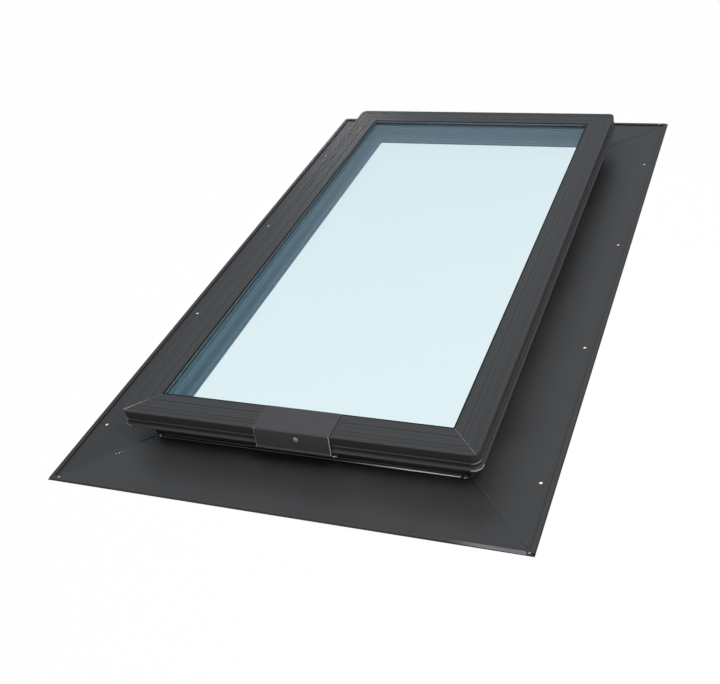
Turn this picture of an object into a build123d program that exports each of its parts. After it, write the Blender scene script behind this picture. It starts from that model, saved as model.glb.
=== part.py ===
from build123d import *
import os

# Self-flashed roof skylight: a welded sheet pan with a raised curb, a plastic saddle
# frame over the curb, a double-glazed unit and a one-piece aluminium retaining cap.
# Millimetres, +Z up. The origin is the middle of the pan's underside, -Y is the sill.

# Overall plan, from the size that the cap covers and how far the pan reaches past it
cap_width = 533.0
cap_length = 962.0
pan_reach = 90.0

# Sheet of the pan
sheet = 1.6
fold_radius = 2.0
hem_width = 7.5
hem_gap = 0.3
hem_flat = 0.1
hem_notch = 4.0
curb_set = 26.0
curb_height = 41.4

# Nail holes
nail_radius = 2.6
nail_edge = 21.3
nail_first = 121.0
nail_pitch = 284.0
head_nail_half = 200.0

# Weld beads over the corner seams of the pan
bead_width = 5.0
bead_height = 0.7
bead_rod_radius = 1.4
bead_clearance = 1.0

# Saddle frame: main box inside the curb, arm outside it, gutter on the light side
frame_roof = 2.6
frame_wall = 2.0
box_height = 30.0
box_depth = 20.4
split_rise = 16.0
arm_drop = 7.6
arm_clearance = 2.5
nib_width = 2.0
nib_rise = 6.0
nib_drop = 2.3
arm_step = 3.0
slot_clearance = 0.2
corner_ease = 0.5
gutter_reach = 9.5
gutter_rise = 6.0
gutter_wall = 1.6
gutter_lip = 7.0

# Corner keys inside the upper chamber
key_leg = 46.0
key_clearance = 0.3

# Glazing
glass = 4.0
cavity = 8.0
glass_bevel = 0.6
spacer_inset = 5.0
spacer_width = 7.0
spacer_wall = 0.5
spacer_gap = 0.8
gasket_low = 2.7
gasket_low_near = 2.0
gasket_low_width = 14.0
gasket_top = 2.0
gasket_top_width = 10.0
gasket_top_near = 0.3
block_thickness = 2.7
block_length = 60.0
block_offset = 130.0
block_height = 18.0

# Retaining cap
cap_wall = 1.8
cap_rail = 44.0
cap_corner = 11.0
cap_edge_round = 0.8
bend_clearance = 2.0
plate_lap = 1.0
rib_rise = 11.5
rib_radius = 0.9
lip_reach = 2.8
lip_thickness = 2.2
hook_reach = 4.6
hook_thickness = 1.4
hook_clearance = 0.3
hook_notch = 28.0
leg_drop = 1.5
groove_offsets = (7.0, 14.5, 30.3)
groove_width = 1.0
groove_depth = 0.3
mitre_width = 0.7
mitre_depth = 0.25
butt_gap = 1.0

# Splice clip over the cap's butt joint, with its screw and backing plate
clip_width = 112.0
clip_offset = 4.0
clip_sheet = 1.5
clip_play = 0.1
clip_lip_play = 0.6
clip_bend = 0.5
clip_leg_play = 0.6
clip_leg_clear = 0.6
clip_drop = 1.5
clip_flare = 3.2
clip_flare_drop = 1.0
screw_offset = 7.0
clip_screw_rise = 5.0
plate_width = 70.0
plate_clearance = 0.6
plate_height = 12.0
plate_thickness = 2.0

# Fasteners
head_radius = 4.0
head_height = 2.6
head_round = 1.2
shank_radius = 1.75
clip_shank = 9.6
frame_shank = 9.0
screw_clearance = 0.25
frame_screw_rise = 10.0
long_screws = (-330.0, 0.0, 330.0)
short_screws = (-110.0, 110.0)

# Weep holes through the sill of the frame, each with a foam baffle
weep_radius = 3.0
weep_rise = 0.2
weep_half = 150.0
baffle_clearance = 0.1

# How far a cut runs past the wall that it goes through
cut_over = 1.0

# Derived places. A distance s runs inwards from the edge of the pan.
pan_width = cap_width + 2 * pan_reach
pan_length = cap_length + 2 * pan_reach
hem_height = 2 * sheet + hem_gap
nail_rows = 1 + int((pan_length - 2 * nail_first) // nail_pitch)
curb_inset = pan_reach + curb_set
curb_in = curb_inset + sheet
box_in = curb_in + box_depth
frame_top = curb_height + frame_roof
frame_foot = frame_top - box_height
chamber_split = frame_foot + split_rise
gutter_in = box_in + gutter_reach
gutter_level = frame_foot + gutter_rise
arm_tip = pan_reach + cap_wall + arm_clearance
arm_foot = frame_top - arm_drop
arm_in = curb_inset - slot_clearance
frame_screw_level = frame_foot + frame_screw_rise
weep_level = gutter_level + gutter_wall + weep_radius + weep_rise
glass_edge = arm_tip + nib_width + block_thickness
glass_low = frame_top + gasket_low
cavity_low = glass_low + glass
pane_high = cavity_low + cavity
glass_top = pane_high + glass
cap_under = glass_top + gasket_top
cap_top = cap_under + cap_wall
cap_in = pan_reach + cap_rail
skirt_in = pan_reach + cap_wall
skirt_foot = frame_top - nib_drop - hook_clearance - hook_thickness
rib_level = skirt_foot + rib_rise
clip_foot = skirt_foot - clip_drop
clip_screw_level = rib_level + clip_screw_rise
plate_foot = frame_top + nib_rise + plate_clearance
spacer_out = glass_edge + spacer_inset

half_run = {
    "left": pan_length / 2,
    "right": pan_length / 2,
    "sill": pan_width / 2,
    "head": pan_width / 2,
}

# One plane for each side: its origin is on the pan's edge, X runs inwards and Y up
side_plane = {
    "left": Plane((-pan_width / 2, 0, 0), x_dir=(1, 0, 0), z_dir=(0, -1, 0)),
    "right": Plane((pan_width / 2, 0, 0), x_dir=(-1, 0, 0), z_dir=(0, 1, 0)),
    "sill": Plane((0, -pan_length / 2, 0), x_dir=(0, 1, 0), z_dir=(1, 0, 0)),
    "head": Plane((0, pan_length / 2, 0), x_dir=(0, -1, 0), z_dir=(-1, 0, 0)),
}


def mitre_planes(side):
    """The two upright planes at 45 degrees that end a length on this side."""
    plane, half = side_plane[side], half_run[side]
    ends = []
    for turn in (1, -1):
        along = plane.z_dir * turn
        ends.append(Plane(plane.origin + along * half, z_dir=plane.x_dir + along))
    return ends


def ease_planes(side):
    """Upright planes across both outer corners of a length, just inside the cap's bend."""
    plane, half = side_plane[side], half_run[side]
    bend_middle = pan_reach + cap_corner
    cuts = []
    for turn in (1, -1):
        along = plane.z_dir * turn
        outward = (along - plane.x_dir).normalized()
        middle = plane.origin + plane.x_dir * bend_middle + along * (half - bend_middle)
        cuts.append(Plane(middle + outward * (cap_corner - cap_wall - corner_ease), z_dir=outward))
    return cuts


def wall_plane(side, inset, along, level):
    """A plane on an upright wall of one side, facing out, at a place along the run."""
    plane = side_plane[side]
    spot = plane.origin + plane.x_dir * inset + plane.z_dir * along + Vector(0, 0, level)
    return Plane(spot, x_dir=plane.z_dir, z_dir=plane.x_dir * -1)


def ring_size(inset):
    """Width and length of the rectangle that lies this far inside the pan's edge."""
    return pan_width - 2 * inset, pan_length - 2 * inset


def ring(level, height, outer, inner):
    """A flat rectangular ring between two insets."""
    with BuildPart() as made:
        with BuildSketch(Plane.XY.offset(level)):
            Rectangle(*ring_size(outer))
            Rectangle(*ring_size(inner), mode=Mode.SUBTRACT)
        extrude(amount=height)
    return made


def save(made, label):
    """Labels a finished piece and writes its file."""
    made.part.label = label
    export_step(made.part, f"parts/{label}.step")


def screw_places():
    """Where the pan is screwed to the saddle frame: side and distance along it."""
    places = [(side, along) for side in ("left", "right") for along in long_screws]
    return places + [(side, along) for side in ("sill", "head") for along in short_screws]


def nail_spots(side):
    """Distances of the nail holes along one flange, from the middle of the run."""
    if side in ("left", "right"):
        facing = 1 if side == "right" else -1
        rows = [nail_first + row * nail_pitch - pan_length / 2 for row in range(nail_rows)]
        return [facing * row for row in rows]
    return [-head_nail_half, head_nail_half] if side == "head" else []


# One flashing sheet: hem, flange, fold and curb wall, mitred at both ends, where the
# upper layer of the hem is notched
def flashing(side):
    plane = side_plane[side]
    hem_round = (hem_height - hem_flat) / 2
    with BuildPart() as made:
        with BuildSketch(plane):
            with BuildLine():
                FilletPolyline(
                    (hem_width, hem_height),
                    (0, hem_height),
                    (0, 0),
                    (curb_in, 0),
                    (curb_in, curb_height),
                    radius=[hem_round, hem_round, fold_radius + sheet],
                )
                offset(amount=sheet, side=Side.LEFT)
            make_face()
        extrude(amount=half_run[side], both=True)
        for end in mitre_planes(side):
            split(bisect_by=end, keep=Keep.BOTTOM)
        for end in (-half_run[side], half_run[side]):
            with BuildSketch(plane.offset(end)):
                with Locations((0, sheet + hem_height / 2)):
                    Rectangle(2 * hem_notch, hem_height)
            extrude(amount=hem_notch, both=True, mode=Mode.SUBTRACT)
        for along in nail_spots(side):
            spot = plane.origin + plane.x_dir * nail_edge + plane.z_dir * along
            with BuildSketch(Plane(spot, z_dir=(0, 0, 1))):
                Circle(nail_radius)
            extrude(amount=sheet + cut_over, mode=Mode.SUBTRACT)
        for place, along in screw_places():
            if place == side:
                with BuildSketch(wall_plane(side, curb_inset, along, frame_screw_level)):
                    Circle(shank_radius + screw_clearance)
                extrude(amount=sheet + cut_over, both=True, mode=Mode.SUBTRACT)
        if side == "sill":
            for along in (-weep_half, weep_half):
                with BuildSketch(wall_plane(side, curb_inset, along, weep_level)):
                    Circle(weep_radius)
                extrude(amount=sheet + cut_over, both=True, mode=Mode.SUBTRACT)
    return made


# One length of the saddle frame, a hollow extrusion that straddles the curb wall
def saddle(side):
    with BuildPart() as made:
        with BuildSketch(side_plane[side]):
            with BuildLine():
                Polyline(
                    (arm_tip, frame_top - nib_drop),
                    (arm_tip, frame_top + nib_rise),
                    (arm_tip + nib_width, frame_top + nib_rise),
                    (arm_tip + nib_width, frame_top),
                    (box_in, frame_top),
                    (box_in, gutter_level + gutter_wall),
                    (gutter_in - gutter_wall, gutter_level + gutter_wall),
                    (gutter_in - gutter_wall, gutter_level + gutter_lip),
                    (gutter_in, gutter_level + gutter_lip),
                    (gutter_in, gutter_level),
                    (box_in, gutter_level),
                    (box_in, frame_foot),
                    (curb_in, frame_foot),
                    (curb_in, curb_height),
                    (arm_in, curb_height),
                    (arm_in, arm_foot),
                    (arm_tip + arm_step, arm_foot),
                    (arm_tip + arm_step, frame_top - nib_drop),
                    close=True,
                )
            make_face()
            chamber_low = (curb_in + frame_wall, frame_foot + frame_wall)
            chamber_high = (curb_in + frame_wall, chamber_split + frame_wall / 2)
            arm_chamber = (arm_tip + arm_step + frame_wall, arm_foot + frame_wall)
            inside = box_depth - 2 * frame_wall
            corner = (Align.MIN, Align.MIN)
            with Locations(chamber_low):
                low = chamber_split - frame_wall / 2 - frame_foot - frame_wall
                Rectangle(inside, low, align=corner, mode=Mode.SUBTRACT)
            with Locations(chamber_high):
                high = frame_top - frame_wall - chamber_split - frame_wall / 2
                Rectangle(inside, high, align=corner, mode=Mode.SUBTRACT)
            with Locations(arm_chamber):
                wide = arm_in - frame_wall - arm_chamber[0]
                Rectangle(wide, arm_drop - 2 * frame_wall, align=corner, mode=Mode.SUBTRACT)
        extrude(amount=half_run[side], both=True)
        for end in mitre_planes(side) + ease_planes(side):
            split(bisect_by=end, keep=Keep.BOTTOM)
        for place, along in screw_places():
            if place == side:
                with BuildSketch(wall_plane(side, curb_in, along, frame_screw_level)):
                    Circle(shank_radius + screw_clearance)
                extrude(amount=-2 * frame_wall, mode=Mode.SUBTRACT)
        if side == "sill":
            for along in (-weep_half, weep_half):
                with BuildSketch(wall_plane(side, curb_in, along, weep_level)):
                    Circle(weep_radius)
                extrude(amount=-box_depth, mode=Mode.SUBTRACT)
    return made


os.makedirs("parts", exist_ok=True)

for side in side_plane:
    save(flashing(side), f"{side}_flashing")
    save(saddle(side), f"{side}_frame")

# Weld beads: a flat one along each seam of the flange and a rod up each curb corner
with BuildPart() as corner_welds:
    for across in (-1, 1):
        for along in (-1, 1):
            inward = Vector(-across, -along, 0).normalized()
            edge = Vector(across * pan_width / 2, along * pan_length / 2, sheet)
            start, stop = hem_width + bead_width, curb_inset - fold_radius - bead_width / 2
            flat = Plane(edge + inward * start * 2**0.5, x_dir=(inward.Y, -inward.X, 0), z_dir=inward)
            upright = 1 if flat.y_dir.Z > 0 else -1
            with BuildSketch(flat):
                with BuildLine():
                    ThreePointArc((-bead_width / 2, 0), (0, upright * bead_height), (bead_width / 2, 0))
                    Line((bead_width / 2, 0), (-bead_width / 2, 0))
                make_face()
            extrude(amount=(stop - start) * 2**0.5)
            curb_x, curb_y = (size / 2 for size in ring_size(curb_inset))
            with BuildSketch(Plane.XY.offset(sheet + fold_radius)):
                with Locations((across * curb_x, along * curb_y)):
                    Circle(bead_rod_radius)
                with Locations((across * (curb_x - bead_width), along * (curb_y - bead_width))):
                    Rectangle(2 * bead_width, 2 * bead_width, mode=Mode.SUBTRACT)
            extrude(amount=arm_foot - bead_clearance - sheet - fold_radius)
save(corner_welds, "corner_welds")

# Corner keys: L-shaped blocks that join the frame lengths inside their upper chamber
with BuildPart() as corner_keys:
    key_out = curb_in + frame_wall + key_clearance
    key_width = box_depth - 2 * frame_wall - 2 * key_clearance
    key_low = chamber_split + frame_wall / 2 + key_clearance
    key_height = frame_top - frame_wall - key_clearance - key_low
    key_x, key_y = (size / 2 for size in ring_size(key_out))
    with BuildSketch(Plane.XY.offset(key_low)):
        for across in (-1, 1):
            for along in (-1, 1):
                with Locations((across * (key_x - key_width / 2), along * (key_y - key_leg / 2))):
                    Rectangle(key_width, key_leg)
                with Locations((across * (key_x - key_leg / 2), along * (key_y - key_width / 2))):
                    Rectangle(key_leg, key_width)
    extrude(amount=key_height)
save(corner_keys, "corner_keys")


# A screw at the origin: the head stands on the XY plane, the shank runs down
def screw(shank, rounded):
    with BuildPart() as made:
        with BuildSketch(Plane.XZ) as outline:
            with BuildLine():
                Polyline(
                    (0, -shank),
                    (shank_radius, -shank),
                    (shank_radius, 0),
                    (head_radius, 0),
                    (head_radius, head_height),
                    (0, head_height),
                    close=True,
                )
            make_face()
            rim = outline.vertices().group_by(Axis.Y)[-1].sort_by(Axis.X)[-1]
            if rounded:
                fillet(rim, head_round)
            else:
                chamfer(rim, head_round)
        revolve(axis=Axis.Z)
    return made


# The screws that hold the pan to the saddle frame
frame_screw = screw(frame_shank, rounded=False)
with BuildPart() as frame_screws:
    seats = [wall_plane(side, curb_inset, along, frame_screw_level) for side, along in screw_places()]
    with Locations(*seats):
        add(frame_screw.part)
save(frame_screws, "frame_screws")

# Foam baffles in the weep holes of the sill
with BuildPart() as weep_baffles:
    for along in (-weep_half, weep_half):
        with BuildSketch(wall_plane("sill", curb_in, along, weep_level)):
            Circle(weep_radius - baffle_clearance)
        extrude(amount=-box_depth)
save(weep_baffles, "weep_baffles")

# Gasket under the glass, along the light side of the frame
gasket_low_in = box_in - gasket_low_near
save(
    ring(frame_top, gasket_low, gasket_low_in - gasket_low_width, gasket_low_in),
    "lower_gasket",
)

# Setting blocks, on which the lower edge of the glass bears
with BuildPart() as setting_blocks:
    block_y = -pan_length / 2 + glass_edge - block_thickness / 2
    with BuildSketch(Plane.XY.offset(frame_top)):
        with Locations((-block_offset, block_y), (block_offset, block_y)):
            Rectangle(block_length, block_thickness)
    extrude(amount=block_height)
save(setting_blocks, "setting_blocks")


# A pane with ground edges
def pane(level):
    with BuildPart() as made:
        with BuildSketch(Plane.XY.offset(level)):
            Rectangle(*ring_size(glass_edge))
        extrude(amount=glass)
        flat = made.faces().sort_by(Axis.Z)
        chamfer(flat[0].edges() + flat[-1].edges(), glass_bevel)
    return made


save(pane(glass_low), "inner_pane")
save(pane(pane_high), "outer_pane")

# Hollow spacer bar, bent from one length with a butt joint at the head
with BuildPart() as spacer_bar:
    with BuildSketch(Plane.XY.offset(cavity_low)):
        Rectangle(*ring_size(spacer_out))
        Rectangle(*ring_size(spacer_out + spacer_width), mode=Mode.SUBTRACT)
    extrude(amount=cavity)
    with BuildSketch(Plane.XY.offset(cavity_low + spacer_wall)):
        Rectangle(*ring_size(spacer_out + spacer_wall))
        Rectangle(*ring_size(spacer_out + spacer_width - spacer_wall), mode=Mode.SUBTRACT)
    extrude(amount=cavity - 2 * spacer_wall, mode=Mode.SUBTRACT)
    with BuildSketch(Plane.XY.offset(cavity_low)):
        with Locations((0, pan_length / 2 - spacer_out - spacer_width / 2)):
            Rectangle(spacer_gap, 2 * spacer_width)
    extrude(amount=cavity, mode=Mode.SUBTRACT)
save(spacer_bar, "spacer_bar")

# Sealant round the edge of the unit, between the panes and outside the spacer
save(ring(cavity_low, cavity, glass_edge + glass_bevel, spacer_out), "edge_seal")

# Gasket between the glass and the cap
gasket_top_in = cap_in - cap_wall - gasket_top_near
save(
    ring(glass_top, gasket_top, gasket_top_in - gasket_top_width, gasket_top_in),
    "upper_gasket",
)

# Splice clip: leans out over the cap's rib and drip lip. Points are (s, height).
clip_back = cap_in + clip_leg_play
clip_front = pan_reach - clip_play
clip_out = pan_reach - lip_reach - clip_lip_play
clip_lean = Vector(clip_front - clip_out, cap_top - clip_foot).normalized()
screw_s = clip_front + (clip_screw_level - cap_top) * clip_lean.X / clip_lean.Y
sill = side_plane["sill"]
screw_out = (sill.y_dir * clip_lean.X - sill.x_dir * clip_lean.Y).normalized()
screw_mid = sill.origin + sill.x_dir * screw_s + sill.y_dir * clip_screw_level
screw_seat = screw_mid + sill.z_dir * (clip_offset + screw_offset) + screw_out * clip_sheet
clip_screw_plane = Plane(screw_seat, x_dir=sill.z_dir, z_dir=screw_out)

cap_start = Plane(sill.origin + sill.z_dir * butt_gap / 2, x_dir=sill.x_dir, z_dir=sill.z_dir)
clip_middle = Plane(sill.origin + sill.z_dir * clip_offset, x_dir=sill.x_dir, z_dir=sill.z_dir)

# Retaining cap: one extrusion bent round the four corners, its top face mitred there,
# and its two ends butted at the middle of the sill
with BuildPart() as retaining_cap:
    with BuildLine() as cap_path:
        half_x, half_y = (size / 2 for size in ring_size(pan_reach))
        FilletPolyline(
            (butt_gap / 2, -half_y),
            (half_x, -half_y),
            (half_x, half_y),
            (-half_x, half_y),
            (-half_x, -half_y),
            (-butt_gap / 2, -half_y),
            radius=cap_corner,
        )
    with BuildSketch(cap_start):
        shoulder = pan_reach + cap_corner - bend_clearance
        tip = (pan_reach - lip_reach, skirt_foot + lip_thickness / 2)
        with BuildLine():
            Polyline(
                (pan_reach, rib_level - rib_radius),
                (pan_reach, skirt_foot + 2 * lip_thickness),
                (tip[0], tip[1] + lip_thickness / 4),
                (tip[0], tip[1] - lip_thickness / 4),
                (pan_reach - lip_reach / 2, skirt_foot),
                (skirt_in + hook_reach, skirt_foot),
                (skirt_in + hook_reach, skirt_foot + hook_thickness),
                (skirt_in, skirt_foot + hook_thickness),
                (skirt_in, cap_under),
                (shoulder, cap_under),
                (shoulder, cap_top),
                (pan_reach + cap_edge_round, cap_top),
            )
            arc_mid = cap_edge_round * (1 - 0.5**0.5)
            ThreePointArc(
                (pan_reach + cap_edge_round, cap_top),
                (pan_reach + arc_mid, cap_top - arc_mid),
                (pan_reach, cap_top - cap_edge_round),
            )
            Line((pan_reach, cap_top - cap_edge_round), (pan_reach, rib_level + rib_radius))
            ThreePointArc(
                (pan_reach, rib_level + rib_radius),
                (pan_reach - rib_radius, rib_level),
                (pan_reach, rib_level - rib_radius),
            )
        make_face()
    sweep(path=cap_path.wire())
    with BuildSketch(Plane.XY.offset(skirt_foot)):
        notch_x, notch_y = (size / 2 for size in ring_size(pan_reach + hook_notch / 2))
        with Locations((notch_x, notch_y), (-notch_x, notch_y), (notch_x, -notch_y), (-notch_x, -notch_y)):
            Rectangle(hook_notch, hook_notch)
        RectangleRounded(*ring_size(skirt_in), radius=cap_corner - cap_wall, mode=Mode.INTERSECT)
    extrude(amount=hook_thickness, mode=Mode.SUBTRACT)
    with BuildSketch(Plane.XY.offset(cap_under)):
        lap = shoulder - plate_lap
        RectangleRounded(*ring_size(lap), radius=pan_reach + cap_corner - lap)
        Rectangle(*ring_size(cap_in), mode=Mode.SUBTRACT)
    extrude(amount=cap_wall)
    with BuildSketch(Plane.XY.offset(cap_under - leg_drop)):
        Rectangle(*ring_size(cap_in - cap_wall))
        Rectangle(*ring_size(cap_in), mode=Mode.SUBTRACT)
    extrude(amount=leg_drop + cap_wall / 2)
    with BuildSketch(Plane.XY.offset(cap_top)):
        for place in groove_offsets:
            Rectangle(*ring_size(pan_reach + place - groove_width / 2))
            Rectangle(*ring_size(pan_reach + place + groove_width / 2), mode=Mode.SUBTRACT)
    extrude(amount=-groove_depth, mode=Mode.SUBTRACT)
    with BuildSketch(Plane.XY.offset(cap_top)):
        middle_x, middle_y = (size / 2 for size in ring_size(pan_reach + cap_rail / 2))
        mitre_length = 2**0.5 * cap_rail + 2 * cut_over
        for across in (-1, 1):
            for along in (-1, 1):
                with Locations((across * middle_x, along * middle_y)):
                    Rectangle(mitre_length, mitre_width, rotation=45 * across * along)
    extrude(amount=-mitre_depth, mode=Mode.SUBTRACT)
    with BuildSketch(Plane.XY.offset(skirt_foot)):
        with Locations((0, -half_y + cap_rail / 2)):
            Rectangle(butt_gap, 2 * cap_rail)
    extrude(amount=cap_top - skirt_foot, mode=Mode.SUBTRACT)
    with BuildSketch(clip_screw_plane):
        Circle(shank_radius + screw_clearance)
    extrude(amount=-clip_shank, mode=Mode.SUBTRACT)
save(retaining_cap, "retaining_cap")

# Backing plate behind the cap's skirt, across the butt joint
with BuildPart() as splice_plate:
    with BuildSketch(Plane(sill.origin + sill.x_dir * skirt_in, x_dir=sill.z_dir, z_dir=sill.x_dir)):
        with Locations((clip_offset, -plate_foot - plate_height / 2)):
            Rectangle(plate_width, plate_height)
    extrude(amount=plate_thickness)
    with BuildSketch(clip_screw_plane):
        Circle(shank_radius + screw_clearance)
    extrude(amount=-clip_shank, mode=Mode.SUBTRACT)
save(splice_plate, "splice_plate")

# The clip itself, folded from one strip
with BuildPart() as splice_clip:
    with BuildSketch(clip_middle):
        with BuildLine():
            FilletPolyline(
                (clip_back, glass_top + clip_leg_clear),
                (clip_back, cap_top),
                (clip_front, cap_top),
                (clip_out, clip_foot),
                (clip_out - clip_flare, clip_foot - clip_flare_drop),
                radius=clip_bend,
            )
            offset(amount=clip_sheet, side=Side.RIGHT)
        make_face()
    extrude(amount=clip_width / 2, both=True)
    with BuildSketch(clip_screw_plane):
        Circle(shank_radius + screw_clearance)
    extrude(amount=-2 * clip_sheet, mode=Mode.SUBTRACT)
save(splice_clip, "splice_clip")

clip_fastener = screw(clip_shank, rounded=True)
with BuildPart() as clip_screw:
    with Locations(clip_screw_plane):
        add(clip_fastener.part)
save(clip_screw, "clip_screw")
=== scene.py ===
import math

import bmesh
import bpy
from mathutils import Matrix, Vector


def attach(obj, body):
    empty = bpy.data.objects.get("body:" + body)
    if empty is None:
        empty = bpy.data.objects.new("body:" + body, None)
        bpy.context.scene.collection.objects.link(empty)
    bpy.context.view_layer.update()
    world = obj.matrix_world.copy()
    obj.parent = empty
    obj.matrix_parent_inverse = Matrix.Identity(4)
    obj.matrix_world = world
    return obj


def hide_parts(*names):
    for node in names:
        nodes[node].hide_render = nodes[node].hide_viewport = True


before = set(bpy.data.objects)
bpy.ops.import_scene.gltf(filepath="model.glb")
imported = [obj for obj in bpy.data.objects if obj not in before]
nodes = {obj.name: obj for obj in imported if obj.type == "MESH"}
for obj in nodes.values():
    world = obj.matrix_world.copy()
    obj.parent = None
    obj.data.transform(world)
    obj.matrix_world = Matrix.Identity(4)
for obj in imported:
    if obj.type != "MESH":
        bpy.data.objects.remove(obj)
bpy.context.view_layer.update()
bpy.ops.object.select_all(action="DESELECT")
print("frame loaded:", len(nodes), "nodes")

# Metres, +Z up, the sill with the clip faces -Y. These are the CAD sizes that pieces and patterns follow.
plan = {
    "panHalf": (0.3565, 0.571),
    "capHalf": (0.2665, 0.481),
    "sheetTop": 0.0016,
    "hemTop": 0.0035,
    "curbFace": (0.2405, 0.455),
    "capRail": 0.044,
    "capTop": 0.0665,
    "glassTop": 0.0627,
    "paneInset": 0.099,
    "clipMiddle": 0.004,
    "clipHalf": 0.056,
}

# Camera, fitted to the photo: a 51 mm lens held a little off level
shot = {
    "place": (0.6201, -1.3417, 0.9561),
    "turn": (53.295, 7.842, 18.129),
    "lens": 50.93,
    "shift": (-0.104, -0.0176),
}
bpy.ops.object.camera_add(location=shot["place"], rotation=[math.radians(a) for a in shot["turn"]])
camera = bpy.context.object
camera.name = "photoCamera"
camera.data.sensor_width = 36
camera.data.lens = shot["lens"]
camera.data.shift_x, camera.data.shift_y = shot["shift"]
camera.data.clip_start, camera.data.clip_end = 0.05, 100
bpy.context.scene.camera = camera
bpy.context.scene.view_settings.view_transform = "Standard"


def linearColour(code):
    # sRGB hex to the linear values that a socket takes
    parts = [int(code[i : i + 2], 16) / 255 for i in (1, 3, 5)]
    return [c / 12.92 if c <= 0.04045 else ((c + 0.055) / 1.055) ** 2.4 for c in parts] + [1]


def addNode(tree, kind, settings={}, links={}):
    # Settings are properties, or inputs by name or number. Links join an input to a node or socket.
    node = tree.nodes.new(kind)
    for key, value in settings.items():
        if isinstance(key, str) and hasattr(node, key):
            setattr(node, key, value)
        else:
            node.inputs[key].default_value = value
    for key, source in links.items():
        socket = source if isinstance(source, bpy.types.NodeSocket) else source.outputs[0]
        tree.links.new(socket, node.inputs[key])
    return node


def newMaterial(skin):
    # A Principled material with its Object coordinates at hand
    made = bpy.data.materials.new(skin["name"])
    made.use_nodes = True
    tree = made.node_tree
    surface = tree.nodes["Principled BSDF"]
    surface.inputs["Base Color"].default_value = linearColour(skin["colour"])
    surface.inputs["Roughness"].default_value = skin["roughness"]
    surface.inputs["Metallic"].default_value = skin.get("metallic", 0.0)
    surface.inputs["Specular IOR Level"].default_value = skin.get("gloss", 0.5)
    place = addNode(tree, "ShaderNodeTexCoord").outputs["Object"]
    return made, tree, surface, place


def inwardDistance(tree, place, half):
    # Distances inwards from the long and the short sides of a rectangle, and the lesser of the two
    spot = addNode(tree, "ShaderNodeSeparateXYZ", {}, {0: place})
    gaps = []
    for axis, size in zip("XY", half):
        away = addNode(tree, "ShaderNodeMath", {"operation": "ABSOLUTE"}, {0: spot.outputs[axis]})
        gaps.append(addNode(tree, "ShaderNodeMath", {"operation": "SUBTRACT", 0: size}, {1: away}))
    nearest = addNode(tree, "ShaderNodeMath", {"operation": "MINIMUM"}, {0: gaps[0], 1: gaps[1]})
    return spot, gaps, nearest


noiseSpan = (0.3, 0.7)  # where most of a noise texture's values lie


def tintBy(tree, surface, colour, value, span, shades):
    # Colour multiplied by a shade that follows a value
    shade = addNode(tree, "ShaderNodeMapRange",
                    {"From Min": span[0], "From Max": span[1], "To Min": shades[0], "To Max": shades[1]},
                    {"Value": value})
    tint = addNode(tree, "ShaderNodeVectorMath", {"operation": "SCALE", 0: linearColour(colour)[:3]},
                   {"Scale": shade})
    tree.links.new(tint.outputs[0], surface.inputs["Base Color"])
    return tint.outputs[0]


def keepWithin(tree, mask, limits):
    # A mask kept only where each value passes its test
    for value, test, limit in limits:
        passed = addNode(tree, "ShaderNodeMath", {"operation": test, 1: limit}, {0: value})
        mask = addNode(tree, "ShaderNodeMath", {"operation": "MULTIPLY"}, {0: mask, 1: passed})
    return mask


def grainMaterial(skin):
    # A material whose one pattern is a fine grain, which shades the colour and lifts the surface
    made, tree, surface, place = newMaterial(skin)
    grain = addNode(tree, skin.get("texture", "ShaderNodeTexNoise"),
                    {"Scale": 1 / skin["grain"], "Detail": skin["detail"]}, {"Vector": place})
    tintBy(tree, surface, skin["colour"], grain, skin.get("span", noiseSpan), skin["shades"])
    strength, depth = skin["relief"]
    relief = addNode(tree, "ShaderNodeBump", {"Strength": strength, "Distance": depth}, {"Height": grain})
    tree.links.new(relief.outputs[0], surface.inputs["Normal"])
    return made


def finishNode(names, material):
    for name in names:
        piece = nodes[name]
        piece.data.materials.clear()
        piece.data.materials.append(material)


# A pale floor, soft lamps and a pale room. Lamps with sheen False light the object and don't mirror in it.
studio = {
    "floorLevel": -0.0006,
    "floorShare": 0.98,
    "floorGloss": 0.28,
    "floorBounce": "#8C8C8C",
    "floorColour": "#F4F4F4",
    "roomColour": "#E8F1FC",
    "roomLight": 0.12,
    "wallLight": 0.2,
    "windowLight": 0.62,
    "ceilingShare": 0.7,
    "wallTop": 0.08,
    "windowHead": 0.3,
    "ceilingStart": 0.35,
    "ceilingFull": 0.7,
    "lamps": [
        {"name": "topSoftbox", "place": (0, -0.2, 2.6), "size": 1.6, "power": 22, "sheen": False},
        {"name": "backSoftbox", "place": (-0.6, 0.45, 1.3), "size": 0.6, "power": 5, "sheen": False},
        {"name": "nearSoftbox", "place": (0.9, -0.9, 1.5), "size": 0.7, "power": 15, "sheen": False},
        {"name": "sideSoftbox", "place": (1.6, -0.5, 0.42), "size": 0.6, "power": 4.8, "sheen": False},
        {"name": "windowSoftbox", "place": (-1.6, 2.9, 0.55), "size": 0.35, "power": 3.6, "sheen": True},
        {"name": "glintSoftbox", "place": (-0.9, -2.6, 0.7), "size": 0.5, "power": 6, "sheen": True,
         "glintOnly": True},
    ],
}

bpy.ops.mesh.primitive_plane_add(size=60, location=(0, 0, studio["floorLevel"]))
floor = bpy.context.object
floor.name = "studioFloor"
floorPaint = bpy.data.materials.new("paleStudioFloor")
floorPaint.use_nodes = True
tree = floorPaint.node_tree
tree.nodes.clear()
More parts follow.
